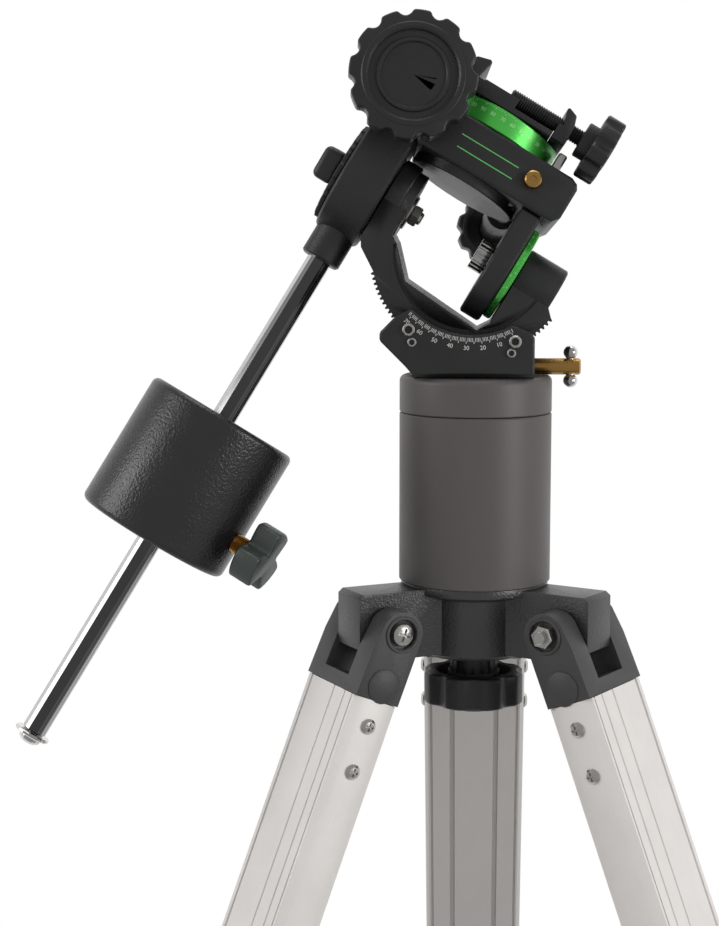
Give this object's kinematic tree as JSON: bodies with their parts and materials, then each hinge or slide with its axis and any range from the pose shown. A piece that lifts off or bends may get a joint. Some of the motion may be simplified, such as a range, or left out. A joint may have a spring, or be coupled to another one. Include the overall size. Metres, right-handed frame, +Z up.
{
  "type": "equatorial telescope mount",
  "caption": "Centre-balanced equatorial telescope mount with toothed latitude arc, dovetail saddle and sliding counterweight, on a short pier and folding aluminium tripod.",
  "frame": {"origin": "centre of the bounding box at floor level, under the pier", "axes": "+Z up; +Y towards the back leg; the polar axis leans in the XZ plane, its high end towards -X"},
  "size_m": [0.5996, 0.5254, 0.9697],
  "materials": {
    "black_plastic": "moulded, fine grain",
    "brass": "machined",
    "chrome": "polished",
    "green_anodised": "green anodised with engraved dial marks",
    "grey_plastic": "moulded, fine grain",
    "pier_grey": "dark grey satin paint",
    "rubber": "matt",
    "satin_black": "satin black paint",
    "silver_aluminium": "satin anodised",
    "steel": "machined",
    "textured_black": "textured black paint",
    "weight_black": "gloss black paint with an orange-peel texture"
  },
  "bodies": {
    "tripod": {"tripod_hub": "textured_black", "pier_tube": "pier_grey", "pier_top_ring": "pier_grey"},
    "hub_knob": {"hub_knob": "black_plastic"},
    "azimuth": {"azimuth_base": "satin_black", "azimuth_bolt": "steel", "base_cheek_front": "satin_black", "base_cheek_rear": "satin_black"},
    "latitude_worm": {"latitude_worm": "brass", "latitude_t_bar": "chrome"},
    "latitude": {"latitude_arc": "satin_black", "ra_shaft": "steel", "ra_shaft_nut": "brass", "ra_worm_wheel": "brass"},
    "ra_clutch": {"ra_clutch_knob": "black_plastic"},
    "ra_circle": {"ra_setting_circle": "green_anodised"},
    "ra_head": {"ra_block": "satin_black", "dec_housing": "satin_black", "dec_bearing_plug": "brass", "dec_index_plate": "silver_aluminium", "ra_arm": "satin_black", "ra_lower_pivot": "chrome", "weight_bar": "chrome", "bar_safety_screw": "chrome"},
    "ra_worm": {"ra_worm": "brass"},
    "ra_knob": {"ra_knob_shaft": "steel", "ra_slow_knob": "black_plastic"},
    "dec_worm": {"dec_worm": "steel", "dec_slow_knob": "black_plastic"},
    "dec": {"dec_shaft": "steel", "dec_worm_wheel": "brass", "dec_setting_circle": "green_anodised", "saddle_base": "satin_black"},
    "saddle_jaw": {"saddle_jaw": "satin_black"},
    "saddle_screw": {"saddle_screw": "textured_black", "saddle_knob": "black_plastic"},
    "weight": {"counterweight": "weight_black"},
    "weight_lock": {"weight_lock_screw": "brass", "weight_lock_knob": "black_plastic"},
    "leg_back": {"leg_bracket_back": "grey_plastic", "leg_pivot_bolt_back": "steel", "leg_upper_back": "silver_aluminium", "leg_collar_back": "grey_plastic"},
    "leg_slide_back": {"leg_lower_back": "silver_aluminium", "foot_back": "rubber"},
    "leg_lock_back": {"leg_lock_knob_back": "black_plastic"},
    "leg_left": {"leg_bracket_left": "grey_plastic", "leg_pivot_bolt_left": "steel", "leg_upper_left": "silver_aluminium", "leg_collar_left": "grey_plastic"},
    "leg_slide_left": {"leg_lower_left": "silver_aluminium", "foot_left": "rubber"},
    "leg_lock_left": {"leg_lock_knob_left": "black_plastic"},
    "leg_right": {"leg_bracket_right": "grey_plastic", "leg_pivot_bolt_right": "steel", "leg_upper_right": "silver_aluminium", "leg_collar_right": "grey_plastic"},
    "leg_slide_right": {"leg_lower_right": "silver_aluminium", "foot_right": "rubber"},
    "leg_lock_right": {"leg_lock_knob_right": "black_plastic"}
  },
  "joints": [
    {"name": "hub_knob_turn", "type": "hinge", "parent": "tripod", "child": "hub_knob", "pos_m": [0, -0.07991, 0.65507], "axis": [0, 0, 1], "continuous": true},
    {"name": "leg_back_fold", "type": "hinge", "parent": "tripod", "child": "leg_back", "pos_m": [0, -0.02491, 0.67377], "axis": [-1, 0, 0], "range_deg": [0, 21]},
    {"name": "leg_back_extend", "type": "slide", "parent": "leg_back", "child": "leg_slide_back", "axis": [0, 0.3665, -0.9304], "range_m": [0, 0.22]},
    {"name": "leg_back_lock_turn", "type": "hinge", "parent": "leg_back", "child": "leg_lock_back", "pos_m": [0, 0.20866, 0.08081], "axis": [0, 0.9304, 0.3665], "continuous": true},
    {"name": "leg_left_fold", "type": "hinge", "parent": "tripod", "child": "leg_left", "pos_m": [-0.04763, -0.10741, 0.67377], "axis": [0.5, -0.866, 0], "range_deg": [0, 21]},
    {"name": "leg_left_extend", "type": "slide", "parent": "leg_left", "child": "leg_slide_left", "axis": [-0.3174, -0.1833, -0.9304], "range_m": [0, 0.22]},
    {"name": "leg_left_lock_turn", "type": "hinge", "parent": "leg_left", "child": "leg_lock_left", "pos_m": [-0.24991, -0.2242, 0.08081], "axis": [-0.8058, -0.4652, 0.3665], "continuous": true},
    {"name": "leg_right_fold", "type": "hinge", "parent": "tripod", "child": "leg_right", "pos_m": [0.04763, -0.10741, 0.67377], "axis": [0.5, 0.866, 0], "range_deg": [0, 21]},
    {"name": "leg_right_extend", "type": "slide", "parent": "leg_right", "child": "leg_slide_right", "axis": [0.3174, -0.1833, -0.9304], "range_m": [0, 0.22]},
    {"name": "leg_right_lock_turn", "type": "hinge", "parent": "leg_right", "child": "leg_lock_right", "pos_m": [0.24991, -0.2242, 0.08081], "axis": [0.8058, -0.4652, 0.3665], "continuous": true},
    {"name": "azimuth_turn", "type": "hinge", "parent": "tripod", "child": "azimuth", "pos_m": [0, -0.07991, 0.79577], "axis": [0, 0, 1], "continuous": true},
    {"name": "latitude_tilt", "type": "hinge", "parent": "azimuth", "child": "latitude", "pos_m": [-0.0015, -0.07991, 0.85677], "axis": [0, 1, 0], "range_deg": [-12, 34]},
    {"name": "latitude_worm_turn", "type": "hinge", "parent": "azimuth", "child": "latitude_worm", "pos_m": [-0.0015, -0.07991, 0.79997], "axis": [1, 0, 0], "range_deg": [-4270, 4270]},
    {"name": "ra_turn", "type": "hinge", "parent": "latitude", "child": "ra_head", "pos_m": [-0.0015, -0.07991, 0.85677], "axis": [0.8572, 0, -0.515], "range_deg": [-60, 60]},
    {"name": "ra_worm_turn", "type": "hinge", "parent": "ra_head", "child": "ra_worm", "pos_m": [-0.03932, -0.07494, 0.91614], "axis": [-0.0806, 0.9877, -0.1341], "range_deg": [-8928, 8928]},
    {"name": "ra_knob_turn", "type": "hinge", "parent": "ra_head", "child": "ra_knob", "pos_m": [-0.03426, -0.07233, 0.93234], "axis": [-0.0806, 0.9877, -0.1341], "range_deg": [-17856, 17856]},
    {"name": "ra_clutch_turn", "type": "hinge", "parent": "latitude", "child": "ra_clutch", "pos_m": [-0.0015, -0.07991, 0.85677], "axis": [0.8572, 0, -0.515], "range_deg": [-60, 60]},
    {"name": "ra_circle_turn", "type": "hinge", "parent": "latitude", "child": "ra_circle", "pos_m": [-0.0015, -0.07991, 0.85677], "axis": [0.8572, 0, -0.515], "continuous": true},
    {"name": "dec_turn", "type": "hinge", "parent": "ra_head", "child": "dec", "pos_m": [-0.01933, -0.07991, 0.86748], "axis": [0.5087, 0.1564, 0.8466], "range_deg": [-65, 150]},
    {"name": "dec_worm_turn", "type": "hinge", "parent": "ra_head", "child": "dec_worm", "pos_m": [0.01574, -0.07538, 0.87983], "axis": [-0.0806, 0.9877, -0.1341], "range_deg": [-21840, 21840]},
    {"name": "saddle_screw_turn", "type": "hinge", "parent": "dec", "child": "saddle_screw", "pos_m": [0.01833, -0.09415, 0.93016], "axis": [0.8572, 0, -0.515], "range_deg": [0, 1350]},
    {"name": "saddle_jaw_slide", "type": "slide", "parent": "dec", "child": "saddle_jaw", "axis": [0.8572, 0, -0.515], "range_m": [0, 0.0046]},
    {"name": "weight_slide", "type": "slide", "parent": "ra_head", "child": "weight", "axis": [0.5087, 0.1564, 0.8466], "range_m": [-0.105, 0.07]},
    {"name": "weight_lock_turn", "type": "hinge", "parent": "weight", "child": "weight_lock", "pos_m": [-0.14905, -0.10868, 0.73352], "axis": [0.8433, -0.2888, -0.4533], "continuous": true}
  ],
  "couplings": [
    {"joint": "latitude_worm_turn", "follows": "latitude_tilt", "ratio": 122},
    {"joint": "ra_worm_turn", "follows": "ra_turn", "ratio": 144},
    {"joint": "ra_knob_turn", "follows": "ra_turn", "ratio": -260.93},
    {"joint": "dec_worm_turn", "follows": "dec_turn", "ratio": 120},
    {"joint": "saddle_screw_turn", "follows": "saddle_jaw_slide", "rad_per_m": 5026.5}
  ]
}
